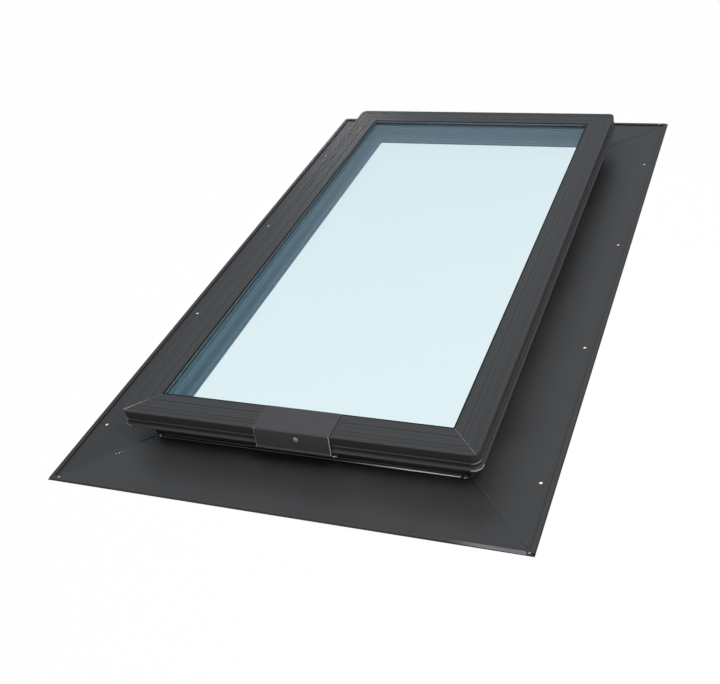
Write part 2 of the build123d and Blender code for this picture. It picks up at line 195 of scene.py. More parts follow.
# Near white to the camera and white through glass, but grey to gloss and to bounced light
path = addNode(tree, "ShaderNodeLightPath")
share = addNode(tree, "ShaderNodeMath", {"operation": "MULTIPLY", 1: studio["floorShare"]},
                {0: path.outputs["Is Camera Ray"]})
glossy = addNode(tree, "ShaderNodeMath", {"operation": "MULTIPLY", 1: studio["floorGloss"]},
                 {0: path.outputs["Is Glossy Ray"]})
for other in (glossy, path.outputs["Is Transmission Ray"]):
    share = addNode(tree, "ShaderNodeMath", {"operation": "MAXIMUM"}, {0: share, 1: other})
bounce = addNode(tree, "ShaderNodeMix",
                 {"data_type": "RGBA", 6: linearColour(studio["floorBounce"]),
                  7: linearColour(studio["floorColour"])},
                 {0: path.outputs["Is Camera Ray"]})
matt = addNode(tree, "ShaderNodeBsdfDiffuse", {}, {"Color": bounce.outputs[2]})
glow = addNode(tree, "ShaderNodeEmission", {"Color": (1, 1, 1, 1), "Strength": 1.0})
mixed = addNode(tree, "ShaderNodeMixShader", {}, {0: share, 1: matt, 2: glow})
addNode(tree, "ShaderNodeOutputMaterial", {}, {"Surface": mixed})
floor.data.materials.append(floorPaint)

world = bpy.data.worlds.new("paleRoom")
world.use_nodes = True
bpy.context.scene.world = world
tree = world.node_tree
tree.nodes.clear()
# A white backdrop for the camera. Gloss and glass see dim walls, a band of window light and a softer ceiling.
direction = addNode(tree, "ShaderNodeTexCoord").outputs["Generated"]
height = addNode(tree, "ShaderNodeSeparateXYZ", {}, {0: direction}).outputs["Z"]
walls = addNode(tree, "ShaderNodeMapRange",
                {"interpolation_type": "SMOOTHSTEP", "From Min": studio["wallTop"], "From Max": studio["windowHead"],
                 "To Min": studio["wallLight"], "To Max": studio["windowLight"]}, {"Value": height})
ceiling = addNode(tree, "ShaderNodeMapRange",
                  {"From Min": studio["ceilingStart"], "From Max": studio["ceilingFull"],
                   "To Min": 1.0, "To Max": studio["ceilingShare"]}, {"Value": height})
walls = addNode(tree, "ShaderNodeMath", {"operation": "MULTIPLY"}, {0: walls, 1: ceiling})
path = addNode(tree, "ShaderNodeLightPath")
mirrored = addNode(tree, "ShaderNodeMath", {"operation": "MAXIMUM"},
                   {0: path.outputs["Is Glossy Ray"], 1: path.outputs["Is Transmission Ray"]})
strength = addNode(tree, "ShaderNodeMix", {2: studio["roomLight"]}, {0: mirrored, 3: walls})
strength = addNode(tree, "ShaderNodeMix", {3: 1.0}, {0: path.outputs["Is Camera Ray"], 2: strength})
colour = addNode(tree, "ShaderNodeMix", {"data_type": "RGBA", 6: linearColour(studio["roomColour"]), 7: (1, 1, 1, 1)},
                 {0: path.outputs["Is Camera Ray"]})
room = addNode(tree, "ShaderNodeBackground", {}, {"Color": colour.outputs[2], "Strength": strength})
addNode(tree, "ShaderNodeOutputWorld", {}, {"Surface": room})

for row in studio["lamps"]:
    bpy.ops.object.light_add(type="AREA", location=row["place"])
    lamp = bpy.context.object
    lamp.name = row["name"]
    lamp.data.shape = "DISK"
    lamp.data.size = row["size"]
    lamp.data.energy = row["power"]
    lamp.visible_glossy = row["sheen"]
    lamp.visible_transmission = row["sheen"]
    lamp.visible_diffuse = not row.get("glintOnly", False)
    lamp.rotation_euler = (-Vector(row["place"])).to_track_quat("-Z", "Y").to_euler()
print("stage ready")

# Satin powder coat on aluminium sheet: charcoal, fine orange peel, slow drifts in shade and gloss
panCoat = {
    "name": "powderCoatedSheet",
    "colour": "#3E3E3E",
    "roughness": 0.4,
    "roughDrift": 0.05,
    "roughSpan": (0.35, 0.65),
    "gloss": 0.6,
    "driftSize": 0.11,
    "drift": 0.1,
    "peelSize": 0.0022,  # the real peel is under 1 mm, too fine to show
    "peelRelief": (0.5, 0.00004),
    "leftSheetPaintedShade": 0.78,
    "hemFoot": 0.0079,
    "hemFootHalf": 0.0007,
    "hemFootPaintedShade": 0.35,
    "hemEdge": (0.00096, 0.0016),
    "hemEdgePaintedShade": 0.3,
    "bareAndHighlightColour": "#B4B4B5",
    "hemHighlightBand": (0.0003, 0.0050),
    "hemHighlightRun": (0.24, 0.325, 0.3455),
    "creaseWidth": 0.0022,
    "creaseDepth": 0.0006,
    "creases": [((0.2746, -0.4924), (0.3448, -0.5672)), ((0.2988, -0.5555), (0.3448, -0.5672)),
                ((0.262, -0.5455), (0.34, -0.566))],
}
panPaint, tree, surface, place = newMaterial(panCoat)
cloud = addNode(tree, "ShaderNodeTexNoise", {"Scale": 1 / panCoat["driftSize"], "Detail": 3.0}, {"Vector": place})
coat = tintBy(tree, surface, panCoat["colour"], cloud, noiseSpan, (1 - panCoat["drift"], 1 + panCoat["drift"]))
dull = addNode(tree, "ShaderNodeMapRange",
               {"From Min": panCoat["roughSpan"][0], "From Max": panCoat["roughSpan"][1],
                "To Min": panCoat["roughness"] - panCoat["roughDrift"],
                "To Max": panCoat["roughness"] + panCoat["roughDrift"]}, {"Value": cloud})
tree.links.new(dull.outputs[0], surface.inputs["Roughness"])
peel = addNode(tree, "ShaderNodeTexNoise", {"Scale": 1 / panCoat["peelSize"], "Detail": 2.0}, {"Vector": place})
strength, depth = panCoat["peelRelief"]
skin = addNode(tree, "ShaderNodeBump", {"Strength": strength, "Distance": depth}, {"Height": peel})
# Painted shade: the left sheet is painted a shade darker, the hem's outer edge is painted dark, and so is its foot on
# the right half.
spot, gaps, inward = inwardDistance(tree, place, plan["panHalf"])
leftHalf = addNode(tree, "ShaderNodeMath", {"operation": "LESS_THAN", 1: 0.0}, {0: spot.outputs["X"]})
sideSheet = addNode(tree, "ShaderNodeMath", {"operation": "LESS_THAN"}, {0: gaps[0], 1: gaps[1]})
leftSheet = addNode(tree, "ShaderNodeMath", {"operation": "MULTIPLY"}, {0: leftHalf, 1: sideSheet})
rightHalf = addNode(tree, "ShaderNodeMath", {"operation": "SUBTRACT", 0: 1.0}, {1: leftHalf})
# Painted shade in the foot of the hem's inner step, on the right half only
foot = addNode(tree, "ShaderNodeMath", {"operation": "COMPARE", 1: panCoat["hemFoot"], 2: panCoat["hemFootHalf"]},
               {0: inward})
foot = addNode(tree, "ShaderNodeMath", {"operation": "MULTIPLY"}, {0: foot, 1: rightHalf})
tone = addNode(tree, "ShaderNodeMapRange", {"To Min": 1.0, "To Max": panCoat["leftSheetPaintedShade"]}, {"Value": leftSheet})
foot = addNode(tree, "ShaderNodeMapRange", {"To Min": 1.0, "To Max": panCoat["hemFootPaintedShade"]}, {"Value": foot})
# Painted shade on the hem's rounded outer edge
edge = addNode(tree, "ShaderNodeMapRange",
               {"From Min": panCoat["hemEdge"][0], "From Max": panCoat["hemEdge"][1],
                "To Min": panCoat["hemEdgePaintedShade"], "To Max": 1.0}, {"Value": inward})
for other in (foot, edge):
    tone = addNode(tree, "ShaderNodeMath", {"operation": "MULTIPLY"}, {0: tone, 1: other})
coat = addNode(tree, "ShaderNodeVectorMath", {"operation": "SCALE"}, {0: coat, "Scale": tone})
# A painted highlight: the sill's hem gets a bright, metallic bare metal colour towards its near right end
hemHighlightStart, hemHighlightFull, hemHighlightEnd = panCoat["hemHighlightRun"]
hemHighlight = addNode(tree, "ShaderNodeMapRange",
              {"interpolation_type": "SMOOTHSTEP", "From Min": hemHighlightStart, "From Max": hemHighlightFull,
               "To Min": 0.0, "To Max": 1.0}, {"Value": spot.outputs["X"]})
hemHighlight = keepWithin(tree, hemHighlight, [(spot.outputs["X"], "LESS_THAN", hemHighlightEnd), (spot.outputs["Y"], "LESS_THAN", 0.0),
                             (gaps[1], "GREATER_THAN", panCoat["hemHighlightBand"][0]),
                             (gaps[1], "LESS_THAN", panCoat["hemHighlightBand"][1])])
markedCoat = addNode(tree, "ShaderNodeMix", {"data_type": "RGBA", 7: linearColour(panCoat["bareAndHighlightColour"])},
               {0: hemHighlight, 6: coat})
tree.links.new(markedCoat.outputs[2], surface.inputs["Base Color"])
tree.links.new(hemHighlight.outputs[0], surface.inputs["Metallic"])
# Shallow creases where the near right corner was folded
for (x0, y0), (x1, y1) in panCoat["creases"]:
    run = math.hypot(x1 - x0, y1 - y0)
    along = Vector(((x1 - x0) / run, (y1 - y0) / run, 0))
    offset = addNode(tree, "ShaderNodeVectorMath", {"operation": "SUBTRACT", 1: (x0, y0, 0)}, {0: place})
    length = addNode(tree, "ShaderNodeVectorMath", {"operation": "DOT_PRODUCT", 1: along}, {0: offset})
    across = addNode(tree, "ShaderNodeVectorMath", {"operation": "DOT_PRODUCT", 1: (-along.y, along.x, 0)},
                     {0: offset})
    across = addNode(tree, "ShaderNodeMath", {"operation": "ABSOLUTE"}, {0: across.outputs["Value"]})
    ridge = addNode(tree, "ShaderNodeMapRange",
                    {"interpolation_type": "SMOOTHSTEP", "From Min": 0.0, "From Max": panCoat["creaseWidth"],
                     "To Min": 1.0, "To Max": 0.0}, {"Value": across})
    ends = addNode(tree, "ShaderNodeMapRange",
                   {"interpolation_type": "SMOOTHSTEP", "From Min": 0.0, "From Max": run,
                    "To Min": 0.0, "To Max": 1.0}, {"Value": length.outputs["Value"]})
    ridge = addNode(tree, "ShaderNodeMath", {"operation": "MULTIPLY"}, {0: ridge, 1: ends})
    skin = addNode(tree, "ShaderNodeBump", {"Strength": 1.0, "Distance": panCoat["creaseDepth"]},
                   {"Height": ridge, "Normal": skin})
tree.links.new(skin.outputs[0], surface.inputs["Normal"])
finishNode(["sill_flashing", "head_flashing", "left_flashing", "right_flashing"], panPaint)

# Powder-coated weld: the bead's ripples show through the coat, and a painted highlight in bright bare metal colour
# runs along the foot of the sill, fading in towards its right end
weldCoat = {
    "name": "powderCoatedWeld",
    "colour": "#3C3C3D",
    "roughness": 0.36,
    "gloss": 0.6,
    "ripple": 0.003,
    "shades": (0.9, 1.1),
    "relief": (0.6, 0.0002),
    "wander": 0.00714,
    "bareAndHighlightColour": "#EDECEA",
    "footRun": (-0.468, -0.4575),
    "shineRun": (0.02, 0.17, 0.2295),
}
weldPaint, tree, surface, place = newMaterial(weldCoat)
spot = addNode(tree, "ShaderNodeSeparateXYZ", {}, {0: place})
away = [addNode(tree, "ShaderNodeMath", {"operation": "ABSOLUTE"}, {0: spot.outputs[axis]}) for axis in "XY"]
run = addNode(tree, "ShaderNodeMath", {"operation": "ADD"}, {0: away[0], 1: away[1]})
wander = addNode(tree, "ShaderNodeTexNoise", {"Scale": 1 / weldCoat["wander"], "Detail": 2.0}, {"Vector": place})
run = addNode(tree, "ShaderNodeMath", {"operation": "MULTIPLY_ADD", 1: weldCoat["ripple"]}, {0: wander, 2: run})
ripple = addNode(tree, "ShaderNodeMath", {"operation": "PINGPONG", 1: weldCoat["ripple"] / 2}, {0: run})
ripple = addNode(tree, "ShaderNodeMath", {"operation": "MULTIPLY", 1: 2 / weldCoat["ripple"]}, {0: ripple})
coat = tintBy(tree, surface, weldCoat["colour"], ripple, (0.0, 1.0), weldCoat["shades"])
strength, depth = weldCoat["relief"]
relief = addNode(tree, "ShaderNodeBump", {"Strength": strength, "Distance": depth}, {"Height": ripple})
tree.links.new(relief.outputs[0], surface.inputs["Normal"])
shineStart, shineFull, shineEnd = weldCoat["shineRun"]
paintedShine = addNode(tree, "ShaderNodeMapRange",
                {"interpolation_type": "SMOOTHSTEP", "From Min": shineStart, "From Max": shineFull,
                 "To Min": 0.0, "To Max": 1.0}, {"Value": spot.outputs["X"]})
paintedShine = keepWithin(tree, paintedShine, [(spot.outputs["X"], "LESS_THAN", shineEnd),
                                 (spot.outputs["Y"], "GREATER_THAN", weldCoat["footRun"][0]),
                                 (spot.outputs["Y"], "LESS_THAN", weldCoat["footRun"][1])])
markedCoat = addNode(tree, "ShaderNodeMix", {"data_type": "RGBA", 7: linearColour(weldCoat["bareAndHighlightColour"])},
               {0: paintedShine, 6: coat})
tree.links.new(markedCoat.outputs[2], surface.inputs["Base Color"])
tree.links.new(paintedShine.outputs[0], surface.inputs["Metallic"])
finishNode(["corner_welds"], weldPaint)

# Satin powder coat on the extruded cap: die lines run with each rail, and the sawn mitres are worn to bare metal
capCoat = {
    "name": "powderCoatedExtrusion",
    "colour": "#393939",
    "roughness": 0.36,
    "gloss": 0.6,
    "lineGap": 0.0034,
    "fineGap": 0.0011,  # real die lines are finer
    "fineShare": 0.5,
    "span": (0.5, 1.0),
    "shades": (0.78, 1.22),
    "relief": (0.5, 0.00012),
    "wornHalf": 0.00022,
    "wornSpread": 0.00088,
    "wornEnd": 0.004,
    "wornDepth": 0.002,
    "patchSize": 0.004545,
    "patchSpan": (0.3, 0.6),
    "patchWear": (0.25, 0.9),
    "highlightCorner": 0.009,
    "highlightLevels": {0.0515: 0.45, 0.0412: 0.9},
    "highlightHalf": 0.0008,
    "bareAndHighlightColour": "#C2C4C6",
    "gapShadowColour": "#161719",
    "gapShadowOffset": 0.0006,
    "gapShadowHalf": 0.0009,
}
capPaint, tree, surface, place = newMaterial(capCoat)
spot, gaps, inward = inwardDistance(tree, place, plan["capHalf"])
profile = addNode(tree, "ShaderNodeMath", {"operation": "ADD"}, {0: inward, 1: spot.outputs["Z"]})
lines = addNode(tree, "ShaderNodeTexNoise",
                {"noise_dimensions": "1D", "Scale": 1 / capCoat["lineGap"], "Detail": 1.0}, {"W": profile})
fine = addNode(tree, "ShaderNodeTexNoise",
               {"noise_dimensions": "1D", "Scale": 1 / capCoat["fineGap"], "Detail": 1.0}, {"W": profile})
streak = addNode(tree, "ShaderNodeMath", {"operation": "MULTIPLY_ADD", 1: capCoat["fineShare"]}, {0: fine, 2: lines})
coat = tintBy(tree, surface, capCoat["colour"], streak, capCoat["span"], capCoat["shades"])
strength, depth = capCoat["relief"]
relief = addNode(tree, "ShaderNodeBump", {"Strength": strength, "Distance": depth}, {"Height": streak})
tree.links.new(relief.outputs[0], surface.inputs["Normal"])
# The worn line on each mitre is patchy, and widens outwards at the near left corner
across = addNode(tree, "ShaderNodeMath", {"operation": "SUBTRACT"}, {0: gaps[0], 1: gaps[1]})
across = addNode(tree, "ShaderNodeMath", {"operation": "ABSOLUTE"}, {0: across})
outward = addNode(tree, "ShaderNodeMapRange",
                  {"From Min": plan["capRail"], "From Max": capCoat["wornEnd"],
                   "To Min": 0.0, "To Max": capCoat["wornSpread"]}, {"Value": inward})
leftSide = addNode(tree, "ShaderNodeMath", {"operation": "LESS_THAN", 1: 0.0}, {0: spot.outputs["X"]})
nearSide = addNode(tree, "ShaderNodeMath", {"operation": "LESS_THAN", 1: 0.0}, {0: spot.outputs["Y"]})
nearLeft = addNode(tree, "ShaderNodeMath", {"operation": "MULTIPLY"}, {0: leftSide, 1: nearSide})
spread = addNode(tree, "ShaderNodeMath", {"operation": "MULTIPLY_ADD", 2: capCoat["wornHalf"]},
                 {0: outward, 1: nearLeft})
wornAndHighlight = addNode(tree, "ShaderNodeMath", {"operation": "LESS_THAN"}, {0: across, 1: spread})
patchy = addNode(tree, "ShaderNodeTexNoise", {"Scale": 1 / capCoat["patchSize"], "Detail": 2.0}, {"Vector": place})
amount = addNode(tree, "ShaderNodeMapRange",
                 {"From Min": capCoat["patchSpan"][0], "From Max": capCoat["patchSpan"][1],
                  "To Min": capCoat["patchWear"][0], "To Max": capCoat["patchWear"][1]}, {"Value": patchy})
onTop = addNode(tree, "ShaderNodeMath", {"operation": "GREATER_THAN", 1: plan["capTop"] - capCoat["wornDepth"]},
                {0: spot.outputs["Z"]})
for other in (onTop, amount):
    wornAndHighlight = addNode(tree, "ShaderNodeMath", {"operation": "MULTIPLY"}, {0: wornAndHighlight, 1: other})
# Painted highlights in bare metal colour on the rib and the drip lip where they turn the near corners
corner = addNode(tree, "ShaderNodeMath", {"operation": "ADD"}, {0: gaps[0], 1: gaps[1]})
corner = addNode(tree, "ShaderNodeMath", {"operation": "LESS_THAN", 1: capCoat["highlightCorner"]}, {0: corner})
corner = addNode(tree, "ShaderNodeMath", {"operation": "MULTIPLY"}, {0: corner, 1: nearSide})
for level, highlightShare in capCoat["highlightLevels"].items():
    band = addNode(tree, "ShaderNodeMath", {"operation": "COMPARE", 1: level, 2: capCoat["highlightHalf"]},
                   {0: spot.outputs["Z"]})
    band = addNode(tree, "ShaderNodeMath", {"operation": "MULTIPLY", 1: highlightShare}, {0: band})
    cornerHighlight = addNode(tree, "ShaderNodeMath", {"operation": "MULTIPLY"}, {0: corner, 1: band})
    wornAndHighlight = addNode(tree, "ShaderNodeMath", {"operation": "MAXIMUM"}, {0: wornAndHighlight, 1: cornerHighlight})
markedCoat = addNode(tree, "ShaderNodeMix", {"data_type": "RGBA", 7: linearColour(capCoat["bareAndHighlightColour"])},
               {0: wornAndHighlight, 6: coat})
# A painted shadow: a dark line along the right end of the clip, where the gap beside it lies in shade
gapShadowPlace = plan["clipMiddle"] + plan["clipHalf"] + capCoat["gapShadowOffset"]
gapShadow = addNode(tree, "ShaderNodeMath", {"operation": "COMPARE", 1: gapShadowPlace, 2: capCoat["gapShadowHalf"]},
               {0: spot.outputs["X"]})
gapShadow = addNode(tree, "ShaderNodeMath", {"operation": "MULTIPLY"}, {0: gapShadow, 1: nearSide})
markedCoat = addNode(tree, "ShaderNodeMix", {"data_type": "RGBA", 7: linearColour(capCoat["gapShadowColour"])},
               {0: gapShadow, 6: markedCoat.outputs[2]})
tree.links.new(markedCoat.outputs[2], surface.inputs["Base Color"])
finishNode(["retaining_cap"], capPaint)

# The clip is a strip of the same metal, a shade lighter; its sheared edges are bare, and their bright colour is
# partly painted highlight
clipCoat = {
    "name": "powderCoatedStrip",
    "colour": "#444345",
    "roughness": 0.4,
    "gloss": 0.6,
    "cloudSize": 0.01667,
    "shades": (0.92, 1.08),
    "bareAndHighlightColour": "#C2C4C7",
    "bareReach": 0.0001,
    "frontReach": 0.0005,
    "front": -0.4815,
    "topPaintedShine": 0.4,
    "lipTop": 0.0387,
    "lipPaintedShine": 0.3,
}
clipPaint, tree, surface, place = newMaterial(clipCoat)
cloud = addNode(tree, "ShaderNodeTexNoise", {"Scale": 1 / clipCoat["cloudSize"], "Detail": 4.0}, {"Vector": place})
coat = tintBy(tree, surface, clipCoat["colour"], cloud, noiseSpan, clipCoat["shades"])
peel = addNode(tree, "ShaderNodeTexNoise", {"Scale": 1 / panCoat["peelSize"], "Detail": 2.0}, {"Vector": place})
strength, depth = panCoat["peelRelief"]
relief = addNode(tree, "ShaderNodeBump", {"Strength": strength, "Distance": depth}, {"Height": peel})
tree.links.new(relief.outputs[0], surface.inputs["Normal"])
# Painted highlight: the edges shine fully down the front and less along the top, and the bent lip shines a little
spot = addNode(tree, "ShaderNodeSeparateXYZ", {}, {0: place})
offset = addNode(tree, "ShaderNodeMath", {"operation": "SUBTRACT", 1: plan["clipMiddle"]}, {0: spot.outputs["X"]})
offset = addNode(tree, "ShaderNodeMath", {"operation": "ABSOLUTE"}, {0: offset})
inFront = addNode(tree, "ShaderNodeMath", {"operation": "LESS_THAN", 1: clipCoat["front"]}, {0: spot.outputs["Y"]})
reach = addNode(tree, "ShaderNodeMapRange", {"To Min": plan["clipHalf"] - clipCoat["bareReach"],
                                             "To Max": plan["clipHalf"] - clipCoat["frontReach"]}, {"Value": inFront})
edge = addNode(tree, "ShaderNodeMath", {"operation": "GREATER_THAN"}, {0: offset, 1: reach})
paintedShine = addNode(tree, "ShaderNodeMapRange", {"To Min": clipCoat["topPaintedShine"], "To Max": 1.0}, {"Value": inFront})
edge = addNode(tree, "ShaderNodeMath", {"operation": "MULTIPLY"}, {0: edge, 1: paintedShine})
lip = addNode(tree, "ShaderNodeMath", {"operation": "LESS_THAN", 1: clipCoat["lipTop"]}, {0: spot.outputs["Z"]})
lip = addNode(tree, "ShaderNodeMath", {"operation": "MULTIPLY", 1: clipCoat["lipPaintedShine"]}, {0: lip})
edge = addNode(tree, "ShaderNodeMath", {"operation": "MAXIMUM"}, {0: edge, 1: lip})
markedCoat = addNode(tree, "ShaderNodeMix", {"data_type": "RGBA", 7: linearColour(clipCoat["bareAndHighlightColour"])},
               {0: edge, 6: coat})
tree.links.new(markedCoat.outputs[2], surface.inputs["Base Color"])
finishNode(["splice_clip", "splice_plate"], clipPaint)

# Coated float glass: an IOR of 1.4, under the 1.52 of bare glass, and a bluish mirror image. It is smooth, with
# a roller wave of a few microns and a green cast that deepens at the ground edge.
glassSkin = {
    "panes": {"outer_pane": ("tintedFloatGlass", "#EEFDFF"), "inner_pane": ("clearFloatGlass", "#F7FCFF")},
    "ior": 1.4,
    "mirrorTint": "#BFE0FF",
    "edgeColour": "#7FA79B",
    "edgeWidth": 0.003,
    "waveLength": 0.25,
    "relief": (0.3, 0.00002),
    "shadowTint": "#E4F1F5",
}
for pane, (name, colour) in glassSkin["panes"].items():
    glass, tree, surface, place = newMaterial({"name": name, "colour": colour, "roughness": 0.0})
    surface.inputs["Transmission Weight"].default_value = 1.0
    surface.inputs["IOR"].default_value = glassSkin["ior"]
    surface.inputs["Specular Tint"].default_value = linearColour(glassSkin["mirrorTint"])
    spot, gaps, inward = inwardDistance(tree, place, [size - plan["paneInset"] for size in plan["panHalf"]])
    rim = addNode(tree, "ShaderNodeMapRange",
                  {"From Min": 0.0, "From Max": glassSkin["edgeWidth"], "To Min": 1.0, "To Max": 0.0},
                  {"Value": inward})
    tint = addNode(tree, "ShaderNodeMix",
                   {"data_type": "RGBA", 6: linearColour(colour), 7: linearColour(glassSkin["edgeColour"])}, {0: rim})
    tree.links.new(tint.outputs[2], surface.inputs["Base Color"])
    wave = addNode(tree, "ShaderNodeTexNoise", {"Scale": 1 / glassSkin["waveLength"], "Detail": 1.0},
                   {"Vector": place})
    strength, depth = glassSkin["relief"]
    relief = addNode(tree, "ShaderNodeBump", {"Strength": strength, "Distance": depth}, {"Height": wave})
    tree.links.new(relief.outputs[0], surface.inputs["Normal"])
    # Light passes straight through to what lies behind, a little tinted
    path = addNode(tree, "ShaderNodeLightPath")
    clear = addNode(tree, "ShaderNodeBsdfTransparent", {"Color": linearColour(glassSkin["shadowTint"])})
    mixed = addNode(tree, "ShaderNodeMixShader", {}, {0: path.outputs["Is Shadow Ray"], 1: surface, 2: clear})
    tree.links.new(mixed.outputs[0], tree.nodes["Material Output"].inputs["Surface"])
    finishNode([pane], glass)

# Extruded rigid vinyl, slate grey: long draw lines, with light and shade painted in bands by height, brightest along
# the top of the frame
vinylSkin = {
    "name": "extrudedVinyl",
    "colour": "#787E84",
    "roughness": 0.38,
    "lineGap": 0.0042,
    "lineShades": (0.8, 1.2),
    "relief": (0.4, 0.0003),
    "foot": 0.014,
    "top": 0.044,
    "paintedHeightShades": [(0.0, 0.8), (0.18, 1.0), (0.27, 1.4), (0.38, 0.95), (0.55, 0.85), (0.68, 0.95), (0.84, 1.5),
             (0.9, 1.3), (0.97, 1.4), (1.0, 2.0)],
}
vinyl, tree, surface, place = newMaterial(vinylSkin)
spot, gaps, inward = inwardDistance(tree, place, plan["panHalf"])
profile = addNode(tree, "ShaderNodeMath", {"operation": "ADD"}, {0: inward, 1: spot.outputs["Z"]})
lines = addNode(tree, "ShaderNodeTexNoise",
                {"noise_dimensions": "1D", "Scale": 1 / vinylSkin["lineGap"], "Detail": 2.0}, {"W": profile})
fineShade = addNode(tree, "ShaderNodeMapRange",
                    {"From Min": noiseSpan[0], "From Max": noiseSpan[1],
                     "To Min": vinylSkin["lineShades"][0], "To Max": vinylSkin["lineShades"][1]}, {"Value": lines})
rise = addNode(tree, "ShaderNodeMapRange", {"From Min": vinylSkin["foot"], "From Max": vinylSkin["top"]},
               {"Value": spot.outputs["Z"]})
# The curve holds half of each height's painted shade, as it stops at 1
ramp = addNode(tree, "ShaderNodeFloatCurve", {}, {"Value": rise})
curve = ramp.mapping.curves[0]
for share, shade in vinylSkin["paintedHeightShades"][1:-1]:
    curve.points.new(share, shade / 2)
curve.points[0].location = (0.0, vinylSkin["paintedHeightShades"][0][1] / 2)
curve.points[-1].location = (1.0, vinylSkin["paintedHeightShades"][-1][1] / 2)
ramp.mapping.update()
shade = addNode(tree, "ShaderNodeMath", {"operation": "MULTIPLY"}, {0: ramp, 1: fineShade})
shade = addNode(tree, "ShaderNodeMath", {"operation": "MULTIPLY", 1: 2.0}, {0: shade})
tint = addNode(tree, "ShaderNodeVectorMath", {"operation": "SCALE", 0: linearColour(vinylSkin["colour"])[:3]},
               {"Scale": shade})
tree.links.new(tint.outputs[0], surface.inputs["Base Color"])
strength, depth = vinylSkin["relief"]
relief = addNode(tree, "ShaderNodeBump", {"Strength": strength, "Distance": depth}, {"Height": lines})
tree.links.new(relief.outputs[0], surface.inputs["Normal"])
finishNode(["sill_frame", "head_frame", "left_frame", "right_frame"], vinyl)

# Extruded rubber: matt black with fine draw lines
rubberSkin = {
    "name": "extrudedRubber",
    "colour": "#0E0F10",
    "roughness": 0.7,
    "gloss": 0.25,
    "lineGap": 0.00111,
    "shades": (0.85, 1.2),
    "relief": (0.4, 0.0001),
}
rubber, tree, surface, place = newMaterial(rubberSkin)
spot, gaps, inward = inwardDistance(tree, place, plan["panHalf"])
lines = addNode(tree, "ShaderNodeTexNoise",
                {"noise_dimensions": "1D", "Scale": 1 / rubberSkin["lineGap"], "Detail": 1.0}, {"W": inward})
tintBy(tree, surface, rubberSkin["colour"], lines, noiseSpan, rubberSkin["shades"])
strength, depth = rubberSkin["relief"]
relief = addNode(tree, "ShaderNodeBump", {"Strength": strength, "Distance": depth}, {"Height": lines})
tree.links.new(relief.outputs[0], surface.inputs["Normal"])
finishNode(["upper_gasket", "setting_blocks"], rubber)

# The same rubber with the walls of its fin painted grey as painted light, under a random mottle, while its top keeps
# the rubber's black
litWallRubberSkin = {
    "name": "rubberWithPaintedLitWalls",
    "colour": "#0E0F10",
    "roughness": 0.7,
    "gloss": 0.25,
    "litWallColour": "#7A848C",
    "litWallTop": 0.0659,
    "soften": 0.0004,
    "dustSize": 0.00833,
    "shades": (0.85, 1.15),
    "relief": (0.3, 0.0001),
}
rubberWithPaintedLitWalls, tree, surface, place = newMaterial(litWallRubberSkin)
dust = addNode(tree, "ShaderNodeTexNoise", {"Scale": 1 / litWallRubberSkin["dustSize"], "Detail": 2.0}, {"Vector": place})
litWall = tintBy(tree, surface, litWallRubberSkin["litWallColour"], dust, noiseSpan, litWallRubberSkin["shades"])
spot = addNode(tree, "ShaderNodeSeparateXYZ", {}, {0: place})
rise = addNode(tree, "ShaderNodeMapRange",
               {"From Min": litWallRubberSkin["litWallTop"] - litWallRubberSkin["soften"], "From Max": litWallRubberSkin["litWallTop"]},
               {"Value": spot.outputs["Z"]})
mixed = addNode(tree, "ShaderNodeMix", {"data_type": "RGBA", 7: linearColour(litWallRubberSkin["colour"])},
                {0: rise, 6: litWall})
tree.links.new(mixed.outputs[2], surface.inputs["Base Color"])
strength, depth = litWallRubberSkin["relief"]
relief = addNode(tree, "ShaderNodeBump", {"Strength": strength, "Distance": depth}, {"Height": dust})
tree.links.new(relief.outputs[0], surface.inputs["Normal"])

# Closed-cell glazing tape: grey, ribbed along its length, with a pebbled skin
tapeSkin = {
    "name": "closedCellTape",
    "colour": "#A8AEB2",
    "roughness": 0.7,
    "rib": 0.0045,
    "shades": (0.6, 1.5),
    "pebble": 0.00111,
    "relief": (0.4, 0.0002),
}
glazingTape, tree, surface, place = newMaterial(tapeSkin)
spot, gaps, inward = inwardDistance(tree, place, plan["panHalf"])
rib = addNode(tree, "ShaderNodeMath", {"operation": "PINGPONG", 1: tapeSkin["rib"]}, {0: inward})
tintBy(tree, surface, tapeSkin["colour"], rib, (0.0, tapeSkin["rib"]), tapeSkin["shades"])
pebble = addNode(tree, "ShaderNodeTexVoronoi", {"Scale": 1 / tapeSkin["pebble"]}, {"Vector": place})
strength, depth = tapeSkin["relief"]
relief = addNode(tree, "ShaderNodeBump", {"Strength": strength, "Distance": depth}, {"Height": pebble})
tree.links.new(relief.outputs[0], surface.inputs["Normal"])
finishNode(["lower_gasket"], glazingTape)

# Roll-formed aluminium spacer: satin, with a row of breather holes every 4 mm
spacerSkin = {
    "name": "rollFormedAluminium",
    "colour": "#A9AFB3",
    "roughness": 0.35,
    "metallic": 1.0,
    "pitch": 0.004,
    "hole": 0.0005,
    "holeShade": 0.08,
    "middle": 0.1075,
    "relief": (0.5, 0.0002),
}
spacerMetal, tree, surface, place = newMaterial(spacerSkin)
spot, gaps, inward = inwardDistance(tree, place, plan["panHalf"])
run = addNode(tree, "ShaderNodeMath", {"operation": "ADD"}, {0: spot.outputs["X"], 1: spot.outputs["Y"]})
alongGap = addNode(tree, "ShaderNodeMath", {"operation": "PINGPONG", 1: spacerSkin["pitch"] / 2}, {0: run})
acrossGap = addNode(tree, "ShaderNodeMath", {"operation": "SUBTRACT", 1: spacerSkin["middle"]}, {0: inward})
square = [addNode(tree, "ShaderNodeMath", {"operation": "MULTIPLY"}, {0: gap, 1: gap})
          for gap in (alongGap, acrossGap)]
square = addNode(tree, "ShaderNodeMath", {"operation": "ADD"}, {0: square[0], 1: square[1]})
metal = addNode(tree, "ShaderNodeMath", {"operation": "GREATER_THAN", 1: spacerSkin["hole"] ** 2}, {0: square})
